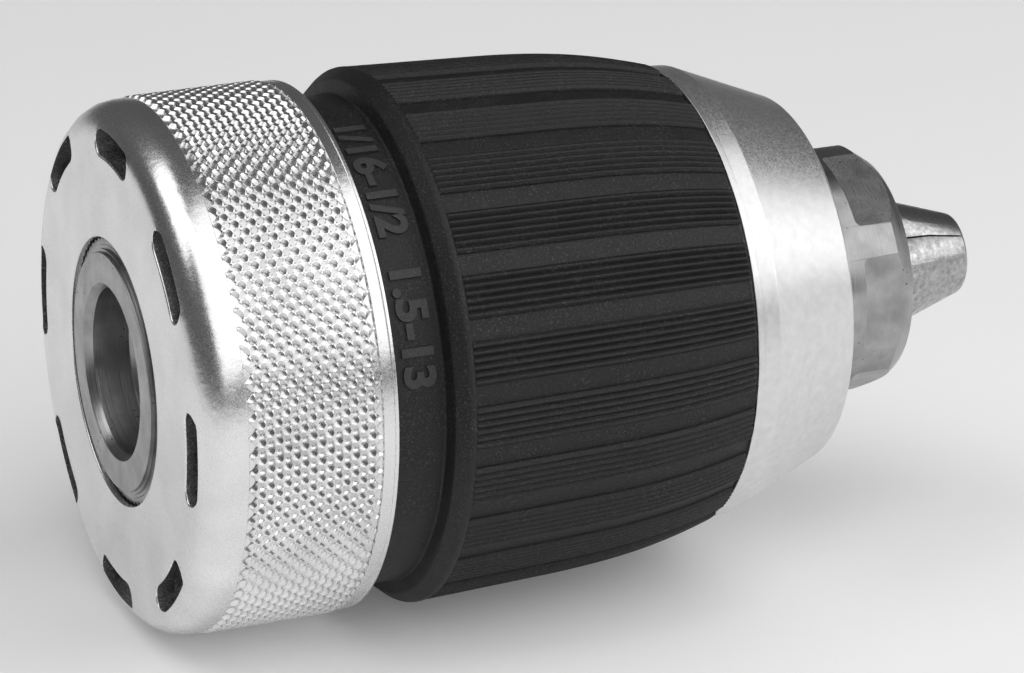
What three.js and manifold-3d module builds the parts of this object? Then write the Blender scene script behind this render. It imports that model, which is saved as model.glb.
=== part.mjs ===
// Keyless drill chuck with a turning sleeve, 1.5 to 13 mm capacity, for a 1/2-20 threaded spindle.
//
// Millimetres. The chuck's axis is +X: the spindle face is at x = 0 and the jaw tips point to +X.
// +Z is up. Angles round the axis are in degrees, from +Y towards +Z. The jaws are shut.
//
// Turning the sleeve turns a split nut whose cone thread drives three slanting jaws through the
// body. A caged ring of balls carries the thrust of the nut into the body.

import * as THREE from "three";
import { mergeVertices } from "three/addons/utils/BufferGeometryUtils.js";
import Module from "manifold-3d";

const wasm = await Module();
wasm.setup();

// ---------------------------------------------------------------- driving dimensions

// Gaps between neighbouring pieces.
const RUNNING_GAP = 0.2; // round a piece, on its radius
const SEAT_GAP = 0.3; // along the axis, and round the jaws

// Jaws.
const CAPACITY = 13; // largest shank
const JAW_COUNT = 3;
const JAW_RADIUS = 4.3;
const JAW_SLOPE = 0.238; // tangent of the angle between a jaw and the axis
const JAW_STICKOUT = 8.4; // from the nose to the jaw tips
const JAW_TAIL = 0.7; // how far the shut jaws reach behind the nut
const JAW_SLIT = 0.2; // between two gripping faces
const JAW_ANGLE = 77; // of the first jaw
const TIP_RADIUS = 3.42; // of the cone that the three tips make, at its end
const TIP_SLOPE = 0.325;
const TIP_BEVEL = 0.7;

// Spindle socket, from the rear face inwards.
const SOCKET_MOUTH_RADIUS = 7.34;
const SOCKET_MOUTH_BEVEL = 0.48;
const SOCKET_MOUTH_BEVEL_LENGTH = 0.67;
const COUNTERBORE_DEPTH = 3.8;
const THREAD_RADIUS = 5.75; // minor radius of a 1/2-20 thread
const THREAD_LEAD_IN = 0.9;
const THREAD_END_X = 17;
const SCREW_HOLE_RADIUS = 3.2; // for the left-hand screw that locks the chuck on
const TOOL_BORE_FLOOR_X = 22;
const TOOL_BORE_PLAY = 0.2;

// Body.
const BOSS_RADIUS = 9.87;
const BOSS_LENGTH = 0.9;
const SEAT_RADIUS = 10.8; // the serrated seat of the rear ring
const FLANGE_RADIUS = 14;
const FLANGE_END_X = 7;
const FLANGE_SLOPE_LENGTH = 1;
const BODY_PLAY = 0.6; // inside the steel sleeve's tube
const SHOULDER_X = 33.3; // thrust face behind the bearing
const NECK_WALL = 2.7; // between the open jaws' inner side and the neck's surface
const FRONT_STEP = 0.17; // from the nut's mouth down to the body in front of it
const NOSE_LENGTH = 8.5;
const NOSE_RADIUS = 10.7;
const NOSE_BEVEL_LENGTH = 1.7;
const NOSE_BEVEL_DEPTH = 1.2;
const FLAT_COUNT = 6;
const FLAT_DISTANCE = 9.9; // from the axis
const FLAT_SETBACK = 3.6; // from the steel sleeve's end to where the flats start
const FLAT_ANGLE = 58;

// Rear ring, a pressed steel cup.
const RING_INSET = 0.15; // its face lies this far inside the spindle face
const RING_DEPTH = 16.5;
const RING_WALL = 1.6;
const RING_ROUND = 3;
const RING_KNURL_START = 3.9; // from its face
const RING_LIP = 1.3; // plain lip in front of the knurl
const KNURL_HEIGHT = 0.15;
const SLOT_COUNT = 8;
const SLOT_RADIUS = 19.1;
const SLOT_WIDTH = 2.2;
const SLOT_SPAN = 16; // degrees between the centres of its round ends
const SLOT_ANGLE = 2.8; // of the first slot

// Bearing and nut.
const RACE_THICKNESS = 1;
const BALL_COUNT = 12;
const BALL_RADIUS = 1;
const POCKET_PLAY = 0.1;
const CAGE_RIM = 0.3;
const CAGE_THICKNESS = 1.2;
const NUT_LENGTH = 7;
const NUT_BAND_WALL = 0.8;

// Steel sleeve.
const TUBE_WALL = 0.9;
const TUBE_START_X = 22;
const TUBE_COVER = 3.5; // from the nut's front to the start of the bare steel
const STEEL_EDGE_RADIUS = 19.45;
const STEEL_BAND_LENGTH = 1.6;
const STEEL_BAND_DROP = 0.25;
const CONE_LENGTH = 10.5; // with the band
const CONE_SLOPE = 0.389;
const CONE_ROUND = 0.5;
const CONE_WALL_START = 1; // the bore starts to narrow this far behind the bare steel
const LIP_THICKNESS = 2;
const LIP_SETBACK = 1.8; // from the cone's end back to the lip

// Retaining ring, a split wire ring in front of the steel sleeve's lip.
const SNAP_THICKNESS = 0.8;
const SNAP_HEIGHT = 2.2;
const SNAP_SPLIT = 4;
const GROOVE_DEPTH = 0.8;

// Grip sleeve, moulded plastic.
const GRIP_REAR_GAP = 0.35; // from the rear ring's lip
const COLLAR_LENGTH = 4.2;
const COLLAR_WALL = 1.4;
const GRIP_WALL = 3.54; // at the thickest
const GRIP_SHOULDER = 1.6; // length of the slope from the collar to the full radius
const SHOULDER_ROUND = 0.25; // how far the rounded slope lies inside the full radius, halfway
const BARREL_SLOPE = 0.04;
const BARREL_BEND_AT = 11.2; // from the full radius to where the barrel starts to bend in
const BARREL_BEND = 0.00256;
const BARREL_BEND_POWER = 2.4;
const FLUTE_COUNT = 26;
const FLUTE_DEPTH = 0.4;
const FLUTE_HALF_ANGLE = 2.1; // degrees
const FLUTE_WALL_ANGLE = 0.5; // degrees
const FLUTE_ANGLE = 8.1;
const FLUTE_RUN_IN = 0.4; // length over which a flute reaches its depth

// How far a cutting shape reaches past what it cuts.
const OVERCUT = 2;

// Facets round each kind of turned piece.
const BIG_FACETS = 48;
const BODY_FACETS = 36;
const BORE_FACETS = 20;
const POCKET_FACETS = 12;

// ---------------------------------------------------------------- worked-out places

const jawTilt = Math.atan(JAW_SLOPE);

// Along the axis, rear to front.
const ringFaceX = RING_INSET;
const ringLipX = ringFaceX + RING_DEPTH;
const gripRearX = ringLipX + GRIP_REAR_GAP;
const rearRaceX = SHOULDER_X + SEAT_GAP;
const ballX = rearRaceX + RACE_THICKNESS + SEAT_GAP + BALL_RADIUS;
const frontRaceX = ballX + BALL_RADIUS + SEAT_GAP;
const nutX = frontRaceX + RACE_THICKNESS + SEAT_GAP;
const nutFrontX = nutX + NUT_LENGTH;
const neckEndX = nutFrontX + SEAT_GAP;
const steelEdgeX = nutFrontX + TUBE_COVER;
const coneFrontX = steelEdgeX + CONE_LENGTH;
const noseFrontX = coneFrontX + NOSE_LENGTH;
const tipX = noseFrontX + JAW_STICKOUT;
const jawRearX = nutX - JAW_TAIL;

// Out from the axis. A jaw's own axis meets the chuck's axis at the tips.
const jawAxisRadius = (x) => (tipX - x) * JAW_SLOPE;
const jawReach = (x) => jawAxisRadius(x) + JAW_RADIUS / Math.cos(jawTilt);
const toolBoreRadius = CAPACITY / 2 + TOOL_BORE_PLAY;
const bearingInner = jawReach(rearRaceX) + RUNNING_GAP;
const bearingWidth = 2 * (BALL_RADIUS + POCKET_PLAY + CAGE_RIM);
const ballPitch = bearingInner + bearingWidth / 2;
const bearingOuter = bearingInner + bearingWidth;
const tubeInner = bearingOuter + RUNNING_GAP;
const tubeOuter = tubeInner + TUBE_WALL;
const bodyRadius = tubeInner - BODY_PLAY;
const bandOuter = tubeInner - RUNNING_GAP;
const bandInner = bandOuter - NUT_BAND_WALL;
const nutOuter = bandInner - RUNNING_GAP;
const neckRadius = jawAxisRadius(neckEndX) + NECK_WALL;
const nutMouthRadius = jawReach(nutFrontX) + RUNNING_GAP;
const frontRadius = nutMouthRadius - FRONT_STEP;
const gripInner = tubeOuter + RUNNING_GAP;
const gripOuter = gripInner + GRIP_WALL;
const ringOuter = gripOuter - SEAT_GAP;
const steelEdgeRadius = Math.max(STEEL_EDGE_RADIUS, tubeOuter + RUNNING_GAP);
const snapInner = frontRadius - GROOVE_DEPTH + RUNNING_GAP;
const snapOuter = snapInner + SNAP_HEIGHT;
const lipFrontX = coneFrontX - LIP_SETBACK;
const lipRearX = lipFrontX - LIP_THICKNESS;
const lipInner = frontRadius + SEAT_GAP;
const snapX = lipFrontX + SEAT_GAP;

// ---------------------------------------------------------------- shape helpers

const rad = THREE.MathUtils.degToRad;
const ACROSS_TO_AXIS = new THREE.Matrix4().makeBasis(
  new THREE.Vector3(0, 1, 0),
  new THREE.Vector3(0, 0, 1),
  new THREE.Vector3(1, 0, 0),
);

// A closed three.js geometry as a solid. Triangles that collapse at a pole are dropped.
function solid(geometry) {
  const bare = geometry.clone();
  bare.deleteAttribute("normal");
  bare.deleteAttribute("uv");
  const merged = mergeVertices(bare, 1e-4);
  const kept = [];
  const index = merged.index.array;
  for (let i = 0; i < index.length; i += 3) {
    const [a, b, c] = [index[i], index[i + 1], index[i + 2]];
    if (a !== b && b !== c && c !== a) kept.push(a, b, c);
  }
  return new wasm.Manifold(
    new wasm.Mesh({
      numProp: 3,
      vertProperties: merged.attributes.position.array,
      triVerts: new Uint32Array(kept),
    }),
  );
}

// The lathe geometry of a closed outline of [x, radius] points, turned round the X axis.
// The outline runs forwards along its outer side and back along its inner side.
function lathe(outline, facets) {
  const points = [...outline, outline[0]].map(([x, r]) => new THREE.Vector2(r, x));
  return new THREE.LatheGeometry(points, facets).rotateZ(-Math.PI / 2);
}

const turned = (outline, facets) => solid(lathe(outline, facets));

// A plain ring with square corners.
function ring(x, length, inner, outer, facets) {
  const end = x + length;
  return turned([[x, inner], [x, outer], [end, outer], [end, inner]], facets);
}

// Points of a quarter-round corner about [x, r], from one angle to another in degrees.
function corner(x, r, radius, from, to, steps) {
  const points = [];
  for (let i = 0; i <= steps; i++) {
    const angle = rad(from + ((to - from) * i) / steps);
    points.push([x + radius * Math.cos(angle), r + radius * Math.sin(angle)]);
  }
  return points;
}

// A round bar from one point to another.
function bar(from, to, radius, facets) {
  const way = new THREE.Vector3().subVectors(to, from);
  const turn = new THREE.Quaternion().setFromUnitVectors(
    new THREE.Vector3(0, 1, 0),
    way.clone().normalize(),
  );
  const geometry = new THREE.CylinderGeometry(radius, radius, way.length(), facets)
    .applyQuaternion(turn)
    .translate(...from.clone().add(to).multiplyScalar(0.5));
  return solid(geometry);
}

// A block given by its lowest and highest corners.
function block(low, high) {
  const size = high.map((value, i) => value - low[i]);
  const middle = high.map((value, i) => (value + low[i]) / 2);
  return solid(new THREE.BoxGeometry(...size).translate(...middle));
}

const about = (angle) => [angle, 0, 0]; // a turn round the chuck's axis
const evenly = (count) => [...Array(count).keys()].map((i) => (i * 360) / count);

function mesh(name, shape, material) {
  const { vertProperties, triVerts } = shape.getMesh();
  const geometry = new THREE.BufferGeometry();
  geometry.setAttribute("position", new THREE.BufferAttribute(vertProperties, 3));
  geometry.setIndex(new THREE.BufferAttribute(triVerts, 1));
  geometry.computeVertexNormals();
  const made = new THREE.Mesh(geometry, material);
  made.name = name;
  return made;
}

const finish = (color, roughness, metalness) =>
  new THREE.MeshStandardMaterial({ color, roughness, metalness });

// ---------------------------------------------------------------- body

// The channel that one jaw slides in, for a jaw that lies in the XZ plane on the +Z side.
function jawBar(radius, fromX, toX, facets) {
  const on = (x) => new THREE.Vector3(x, 0, jawAxisRadius(x));
  return bar(on(fromX), on(toX), radius, facets);
}

function chuckBody() {
  const mouth = SOCKET_MOUTH_RADIUS - SOCKET_MOUTH_BEVEL;
  const grooveX = snapX - RUNNING_GAP;
  const grooveEndX = snapX + SNAP_THICKNESS + RUNNING_GAP;
  const noseX = coneFrontX + RUNNING_GAP;
  let body = turned(
    [
      [0, SOCKET_MOUTH_RADIUS],
      [0, BOSS_RADIUS],
      [BOSS_LENGTH, BOSS_RADIUS],
      [BOSS_LENGTH, SEAT_RADIUS],
      [ringFaceX + RING_WALL + SEAT_GAP, SEAT_RADIUS],
      [ringFaceX + RING_WALL + SEAT_GAP, FLANGE_RADIUS],
      [FLANGE_END_X, FLANGE_RADIUS],
      [FLANGE_END_X + FLANGE_SLOPE_LENGTH, bodyRadius],
      [SHOULDER_X, bodyRadius],
      [SHOULDER_X, neckRadius],
      [neckEndX, neckRadius],
      [neckEndX, frontRadius],
      [grooveX, frontRadius],
      [grooveX, frontRadius - GROOVE_DEPTH],
      [grooveEndX, frontRadius - GROOVE_DEPTH],
      [grooveEndX, frontRadius],
      [noseX, frontRadius],
      [noseX, NOSE_RADIUS],
      [noseFrontX - NOSE_BEVEL_LENGTH, NOSE_RADIUS],
      [noseFrontX, NOSE_RADIUS - NOSE_BEVEL_DEPTH],
      [noseFrontX, toolBoreRadius],
      [TOOL_BORE_FLOOR_X, toolBoreRadius],
      [TOOL_BORE_FLOOR_X, SCREW_HOLE_RADIUS],
      [THREAD_END_X, SCREW_HOLE_RADIUS],
      [THREAD_END_X, THREAD_RADIUS],
      [COUNTERBORE_DEPTH + THREAD_LEAD_IN, THREAD_RADIUS],
      [COUNTERBORE_DEPTH, mouth],
      [SOCKET_MOUTH_BEVEL_LENGTH, mouth],
    ],
    BODY_FACETS,
  );
  const channel = jawBar(
    JAW_RADIUS + SEAT_GAP, FLANGE_END_X - OVERCUT, tipX + OVERCUT, BORE_FACETS,
  );
  for (const angle of evenly(JAW_COUNT))
    body = body.subtract(channel.rotate(about(angle + JAW_ANGLE - 90)));
  const beyond = 2 * NOSE_RADIUS;
  const flatX = coneFrontX + FLAT_SETBACK;
  const flat = block([flatX, FLAT_DISTANCE, -beyond], [noseFrontX + OVERCUT, beyond, beyond]);
  for (const angle of evenly(FLAT_COUNT))
    body = body.subtract(flat.rotate(about(angle + FLAT_ANGLE)));
  return body;
}

// ---------------------------------------------------------------- rear ring

// One slot, as a bar bent round the axis with round ends.
function slotCutter() {
  const half = rad(SLOT_SPAN / 2);
  const end = SLOT_WIDTH / 2;
  const shape = new THREE.Shape();
  shape.absarc(0, 0, SLOT_RADIUS + end, -half, half, false);
  shape.absarc(
    SLOT_RADIUS * Math.cos(half), SLOT_RADIUS * Math.sin(half), end, half, half + Math.PI, false,
  );
  shape.absarc(0, 0, SLOT_RADIUS - end, half, -half, true);
  shape.absarc(
    SLOT_RADIUS * Math.cos(half), -SLOT_RADIUS * Math.sin(half), end, Math.PI - half, -half, false,
  );
  const depth = RING_WALL + RING_ROUND + OVERCUT;
  const options = { depth, bevelEnabled: false, curveSegments: 3 };
  const geometry = new THREE.ExtrudeGeometry(shape, options);
  return solid(geometry.applyMatrix4(ACROSS_TO_AXIS)).translate([
    ringFaceX - OVERCUT / 2, 0, 0,
  ]);
}

function rearRing() {
  const knurlX = ringFaceX + RING_KNURL_START;
  const knurlEndX = ringLipX - RING_LIP;
  const plain = ringOuter - KNURL_HEIGHT;
  const inner = ringOuter - RING_WALL;
  const innerRound = RING_ROUND - RING_WALL;
  let cup = turned(
    [
      [ringFaceX, SEAT_RADIUS + SEAT_GAP],
      ...corner(ringFaceX + RING_ROUND, plain - RING_ROUND, RING_ROUND, 180, 90, 4),
      [knurlX, plain],
      [knurlX, ringOuter],
      [knurlEndX, ringOuter],
      [knurlEndX, plain],
      [ringLipX - SEAT_GAP, plain],
      [ringLipX, plain - SEAT_GAP],
      [ringLipX, inner],
      ...corner(ringFaceX + RING_WALL + innerRound, inner - innerRound, innerRound, 90, 180, 2),
      [ringFaceX + RING_WALL, SEAT_RADIUS + SEAT_GAP],
    ],
    BIG_FACETS,
  );
  const cutter = slotCutter();
  for (const angle of evenly(SLOT_COUNT))
    cup = cup.subtract(cutter.rotate(about(angle + SLOT_ANGLE)));
  return cup;
}

// ---------------------------------------------------------------- bearing and nut

const race = (x) => ring(x, RACE_THICKNESS, bearingInner, bearingOuter, BODY_FACETS);

function ballCage() {
  let cage = ring(
    ballX - CAGE_THICKNESS / 2, CAGE_THICKNESS, bearingInner, bearingOuter, BODY_FACETS,
  );
  const pocket = bar(
    new THREE.Vector3(ballX - OVERCUT, ballPitch, 0),
    new THREE.Vector3(ballX + OVERCUT, ballPitch, 0),
    BALL_RADIUS + POCKET_PLAY,
    POCKET_FACETS,
  );
  for (const angle of evenly(BALL_COUNT)) cage = cage.subtract(pocket.rotate(about(angle)));
  return cage;
}

// The nut is turned as one ring with a cone bore, then split in two along the XZ plane.
function nutHalf(side) {
  const whole = turned(
    [
      [nutX, jawReach(nutX) + RUNNING_GAP],
      [nutX, nutOuter],
      [nutFrontX, nutOuter],
      [nutFrontX, nutMouthRadius],
    ],
    BODY_FACETS,
  );
  const beyond = 2 * nutOuter;
  const split = RUNNING_GAP / 2;
  const away = block(
    [nutX - OVERCUT, -beyond, -beyond],
    [nutFrontX + OVERCUT, split, beyond],
  );
  return whole.subtract(side > 0 ? away : away.rotate(about(180)));
}

// ---------------------------------------------------------------- sleeves

function steelSleeve() {
  const bandEndX = steelEdgeX + STEEL_BAND_LENGTH;
  const bandEndRadius = steelEdgeRadius - STEEL_BAND_DROP;
  const coneEnd = bandEndRadius - (coneFrontX - bandEndX) * CONE_SLOPE;
  const recess = snapOuter + RUNNING_GAP;
  return turned(
    [
      [TUBE_START_X, tubeInner],
      [TUBE_START_X, tubeOuter],
      [steelEdgeX, tubeOuter],
      [steelEdgeX, steelEdgeRadius],
      [bandEndX, bandEndRadius],
      [coneFrontX - CONE_ROUND, coneEnd + CONE_ROUND * CONE_SLOPE],
      [coneFrontX, coneEnd - CONE_ROUND],
      [coneFrontX, recess],
      [lipFrontX, recess],
      [lipFrontX, lipInner],
      [lipRearX, lipInner],
      [lipRearX, recess],
      [steelEdgeX - CONE_WALL_START, tubeInner],
    ],
    BIG_FACETS,
  );
}

// Distance of the grip's surface from the axis, before the flutes.
function barrelRadius(x) {
  const run = x - (gripRearX + COLLAR_LENGTH + GRIP_SHOULDER);
  const bend = Math.max(0, run - BARREL_BEND_AT);
  return gripOuter - BARREL_SLOPE * run - BARREL_BEND * bend ** BARREL_BEND_POWER;
}

// The grip is a lathe shape whose outer points sink where a flute runs. Each flute takes four
// columns of points: its two upper edges and its two lower edges.
function gripSleeve() {
  const shoulderX = gripRearX + COLLAR_LENGTH;
  const fullX = shoulderX + GRIP_SHOULDER;
  const endX = steelEdgeX - RUNNING_GAP;
  const collar = gripInner + COLLAR_WALL;
  const bendX = fullX + BARREL_BEND_AT;
  const fluted = [fullX + FLUTE_RUN_IN, bendX];
  for (const share of [0.4, 0.7, 1]) fluted.push(bendX + (endX - bendX) * share);
  const outline = [
    [gripRearX, gripInner],
    [gripRearX, collar],
    [shoulderX, collar],
    [(shoulderX + fullX) / 2, gripOuter - SHOULDER_ROUND],
    [fullX, gripOuter],
    ...fluted.map((x) => [x, Math.max(barrelRadius(x), gripInner + 2 * FLUTE_DEPTH)]),
    [endX, gripInner],
  ];
  const geometry = lathe(outline, 4 * FLUTE_COUNT);
  const position = geometry.attributes.position;
  const rows = outline.length + 1;
  const firstFluted = outline.length - 1 - fluted.length;
  const edge = FLUTE_HALF_ANGLE + FLUTE_WALL_ANGLE;
  const offsets = [-edge, -FLUTE_HALF_ANGLE, FLUTE_HALF_ANGLE, edge];
  for (let i = 0; i < position.count; i++) {
    const row = i % rows;
    const column = Math.floor(i / rows);
    const flute = Math.floor(column / 4);
    const low = column % 4 === 1 || column % 4 === 2;
    const angle = rad(FLUTE_ANGLE + (flute * 360) / FLUTE_COUNT + offsets[column % 4]);
    const inFlute = low && row >= firstFluted && row < outline.length - 1;
    const radius = Math.hypot(position.getY(i), position.getZ(i)) - (inFlute ? FLUTE_DEPTH : 0);
    position.setXYZ(i, position.getX(i), radius * Math.cos(angle), radius * Math.sin(angle));
  }
  return solid(geometry);
}

function retainingRing() {
  const whole = ring(snapX, SNAP_THICKNESS, snapInner, snapOuter, BODY_FACETS);
  const half = SNAP_SPLIT / 2;
  return whole.subtract(block(
    [snapX - OVERCUT, -half, -2 * snapOuter],
    [snapX + OVERCUT, half, 0],
  ));
}

// ---------------------------------------------------------------- jaws

// A jaw in the XZ plane, on the +Z side: a slanting bar whose front is cut by the two gripping
// faces and by the cone that the three tips share.
function jaw() {
  const round = jawBar(JAW_RADIUS, jawRearX, tipX + 2 * JAW_RADIUS, BORE_FACETS);
  const rearX = jawRearX - 2 * OVERCUT;
  const frontX = tipX + OVERCUT;
  const high = jawReach(rearX) + OVERCUT;
  const across = high * Math.tan(Math.PI / JAW_COUNT);
  const apex = JAW_SLIT / 2 / Math.sin(Math.PI / JAW_COUNT);
  const wedge = new THREE.Shape();
  wedge.moveTo(0, apex);
  wedge.lineTo(across, apex + high);
  wedge.lineTo(-across, apex + high);
  const options = { depth: frontX - rearX, bevelEnabled: false };
  const share = solid(new THREE.ExtrudeGeometry(wedge, options).applyMatrix4(ACROSS_TO_AXIS));
  const cone = turned(
    [
      [rearX, 0],
      [rearX, TIP_RADIUS + (tipX - rearX) * TIP_SLOPE],
      [tipX - TIP_BEVEL, TIP_RADIUS + TIP_BEVEL * TIP_SLOPE],
      [tipX, TIP_RADIUS - TIP_BEVEL],
      [tipX, 0],
    ],
    BODY_FACETS,
  );
  return round.intersect(share.translate([rearX, 0, 0])).intersect(cone);
}

// ---------------------------------------------------------------- assembly

const satinSteel = finish(0xb9bab9, 0.4, 1);
const brightPlate = finish(0xd6d7d6, 0.25, 1);
const groundSteel = finish(0x9b9a97, 0.45, 1);
const hardSteel = finish(0x8b8c8e, 0.3, 1);
const blackPlastic = finish(0x1d1e1f, 0.65, 0);

const chuck = new THREE.Group();
chuck.name = "drill_chuck";

const fixed = new THREE.Group();
fixed.add(mesh("chuck_body", chuckBody(), groundSteel));
fixed.add(mesh("rear_ring", rearRing(), brightPlate));
fixed.add(mesh("rear_race", race(rearRaceX), hardSteel));
fixed.add(mesh("retaining_ring", retainingRing(), hardSteel));

const sleeve = new THREE.Group();
sleeve.add(mesh("grip_sleeve", gripSleeve(), blackPlastic));
sleeve.add(mesh("steel_sleeve", steelSleeve(), satinSteel));
sleeve.add(mesh("nut_half_a", nutHalf(1), groundSteel));
sleeve.add(mesh("nut_half_b", nutHalf(-1), groundSteel));
sleeve.add(mesh("nut_band", ring(nutX, NUT_LENGTH, bandInner, bandOuter, BODY_FACETS), hardSteel));
sleeve.add(mesh("front_race", race(frontRaceX), hardSteel));

const bearing = new THREE.Group();
bearing.position.x = ballX;
bearing.add(mesh("ball_cage", ballCage().translate([-ballX, 0, 0]), satinSteel));
const ball = solid(new THREE.SphereGeometry(BALL_RADIUS, 8, 6));
evenly(BALL_COUNT).forEach((angle, i) => {
  const placed = mesh(`ball_${String(i + 1).padStart(2, "0")}`, ball, hardSteel);
  placed.position.set(0, ballPitch * Math.cos(rad(angle)), ballPitch * Math.sin(rad(angle)));
  bearing.add(placed);
});

const jaws = new THREE.Group();
const jawShape = jaw();
evenly(JAW_COUNT).forEach((angle, i) => {
  const placed = mesh(`jaw_${i + 1}`, jawShape, groundSteel);
  placed.rotation.x = rad(angle + JAW_ANGLE - 90);
  jaws.add(placed);
});

chuck.add(fixed, sleeve, bearing, jaws);

export default chuck;
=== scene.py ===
# %% [markdown]
# # A keyless drill chuck
#
# A keyless chuck holds a drill in three jaws that slide down a cone. The rear ring stays with the
# body, the black grip turns, and a split nut inside the grip drives the jaws along their slanting
# channels. A CAD model already fixes the size and place of every part. This lesson gives the parts
# their looks: knurl, ribs, thread, machined faces and plated steel. Each cell makes one thing.

# %% Load the CAD frame
import math

import bmesh
import bpy
from mathutils import Matrix, Vector


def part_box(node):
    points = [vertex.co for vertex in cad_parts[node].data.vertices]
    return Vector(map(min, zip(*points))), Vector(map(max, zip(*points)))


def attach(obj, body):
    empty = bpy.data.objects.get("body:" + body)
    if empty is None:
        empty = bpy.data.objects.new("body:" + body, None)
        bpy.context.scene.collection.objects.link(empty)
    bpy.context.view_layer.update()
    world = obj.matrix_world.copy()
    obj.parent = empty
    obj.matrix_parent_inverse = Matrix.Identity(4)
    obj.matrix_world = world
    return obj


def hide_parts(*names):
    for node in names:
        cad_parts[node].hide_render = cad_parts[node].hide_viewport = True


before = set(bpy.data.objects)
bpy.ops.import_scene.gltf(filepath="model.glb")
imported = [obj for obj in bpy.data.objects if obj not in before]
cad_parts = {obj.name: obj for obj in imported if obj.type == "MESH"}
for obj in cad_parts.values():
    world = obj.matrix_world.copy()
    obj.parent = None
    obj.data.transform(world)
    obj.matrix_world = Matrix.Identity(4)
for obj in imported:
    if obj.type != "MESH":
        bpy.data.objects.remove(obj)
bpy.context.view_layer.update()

MM = 0.001

# %% [markdown]
# ## Places
#
# The frame gives the real sizes, so places are read from it and not typed twice. The chuck lies
# along X: spindle end at x = 0, jaw tips towards +X. All outlines below are in millimetres, and a
# helper turns them into metres when it makes a mesh.


# %% Read places from the frame
def reach(node):
    """First x, last x and largest radius of a CAD node, in millimetres."""
    low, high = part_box(node)
    return low.x / MM, high.x / MM, high.z / MM


ring_face, ring_lip, knurl_top = reach("rear_ring")
grip_rear, grip_front, _ = reach("grip_sleeve")
tube_rear, cone_front, steel_edge_radius = reach("steel_sleeve")
race_rear, race_front, bearing_outer = reach("rear_race")
front_race_rear, front_race_front, _ = reach("front_race")
cage_rear, cage_front, _ = reach("ball_cage")
band_rear, band_front, band_outer = reach("nut_band")
snap_rear, snap_front, snap_outer = reach("retaining_ring")
ball_low, ball_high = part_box("ball_01")
ball_x = (ball_low.x + ball_high.x) / 2 / MM
ball_pitch = (ball_low.y + ball_high.y) / 2 / MM
ball_radius = (ball_high.x - ball_low.x) / 2 / MM
nose_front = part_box("chuck_body")[1].x / MM
tip_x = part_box("jaw_1")[1].x / MM
print(f"ring {ring_face:.2f} to {ring_lip:.2f}, grip {grip_rear:.2f} to {grip_front:.2f}, tips {tip_x:.2f}")

# %% [markdown]
# ## The camera
#
# The camera looks at the chuck from behind and a little above, with a long lens, so that the
# spindle socket shows and the lines along the axis stay nearly parallel. It comes first because
# every later choice is judged through it.

# %% Place the camera
camera = bpy.data.objects.new("camera", bpy.data.cameras.new("camera"))
bpy.context.collection.objects.link(camera)
camera.location = Vector((-116.46, -367.48, 146.26)) * MM
camera.rotation_euler = Vector((0.35758, 0.86613, -0.34923)).to_track_quat("-Z", "Y").to_euler()
camera.data.sensor_width = 36
camera.data.lens = 177.7
camera.data.clip_start = 0.01
bpy.context.scene.camera = camera
print("lens", camera.data.lens, "mm, turned", [round(math.degrees(a), 1) for a in camera.rotation_euler])

# %% [markdown]
# ## One wrapper for node maths
#
# Both shaders and Geometry Nodes are trees of nodes. Writing `a * b + 0.5` is easier to read than
# six lines that add and link Math nodes, so a small class wraps an output socket and overloads the
# operators. Its `node` method makes any other node: settings first, then values or links.


# %% Wrap sockets so that expressions add nodes
class Wire:
    """An output socket of a tree. Arithmetic on it adds Math nodes."""

    def __init__(self, tree, socket=None):
        self.tree = tree
        self.socket = socket

    def node(self, kind, settings=None, inputs=None, output=0):
        made = self.tree.nodes.new(kind)
        for name, value in (settings or {}).items():
            setattr(made, name, value)
        for name, value in (inputs or {}).items():
            if isinstance(value, Wire):
                self.tree.links.new(value.socket, made.inputs[name])
            else:
                made.inputs[name].default_value = value
        return Wire(self.tree, made.outputs[output])

    def other(self, name):
        """Another output of the same node."""
        return Wire(self.tree, self.socket.node.outputs[name])

    def math(self, operation, *values):
        return self.node("ShaderNodeMath", {"operation": operation}, dict(enumerate(values)))

    def __add__(self, value):
        return self.math("ADD", self, value)

    def __sub__(self, value):
        return self.math("SUBTRACT", self, value)

    def __rsub__(self, value):
        return self.math("SUBTRACT", value, self)

    def __mul__(self, value):
        return self.math("MULTIPLY", self, value)

    def __truediv__(self, value):
        return self.math("DIVIDE", self, value)

    def __rtruediv__(self, value):
        return self.math("DIVIDE", value, self)

    def __pow__(self, value):
        return self.math("POWER", self, value)

    __radd__ = __add__
    __rmul__ = __mul__

    def ramp(self, low, high, to_low=0.0, to_high=1.0):
        """Map low..high to to_low..to_high and hold the ends."""
        ends = {"Value": self, "From Min": low, "From Max": high, "To Min": to_low, "To Max": to_high}
        return self.node("ShaderNodeMapRange", {"clamp": True}, ends)

    def split(self):
        """The three numbers of a vector."""
        parts = self.node("ShaderNodeSeparateXYZ", inputs={"Vector": self})
        return parts, parts.other("Y"), parts.other("Z")

    def vector(self, x, y, z):
        return self.node("ShaderNodeCombineXYZ", inputs={"X": x, "Y": y, "Z": z})


# %% [markdown]
# ## Finishes
#
# Every finish below starts from the same idea: one Principled shader, plain numbers on the sockets
# that don't vary, and noise on the three that do (colour, roughness, bump). The patterns read Object
# coordinates in millimetres, so a grain of 0.1 is a tenth of a millimetre on the real part.


# %% Start a material
def new_finish(name, **plain):
    """A Principled material. Plain values go straight on the shader's sockets."""
    material = bpy.data.materials.new(name)
    material.use_nodes = True
    shader = material.node_tree.nodes["Principled BSDF"]
    for socket, value in plain.items():
        shader.inputs[socket.replace("_", " ")].default_value = value
    start = Wire(material.node_tree)
    metres = start.node("ShaderNodeTexCoord", output="Object")
    place = start.node("ShaderNodeVectorMath", {"operation": "SCALE"}, {0: metres, "Scale": 1 / MM})
    return material, shader, place


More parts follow.
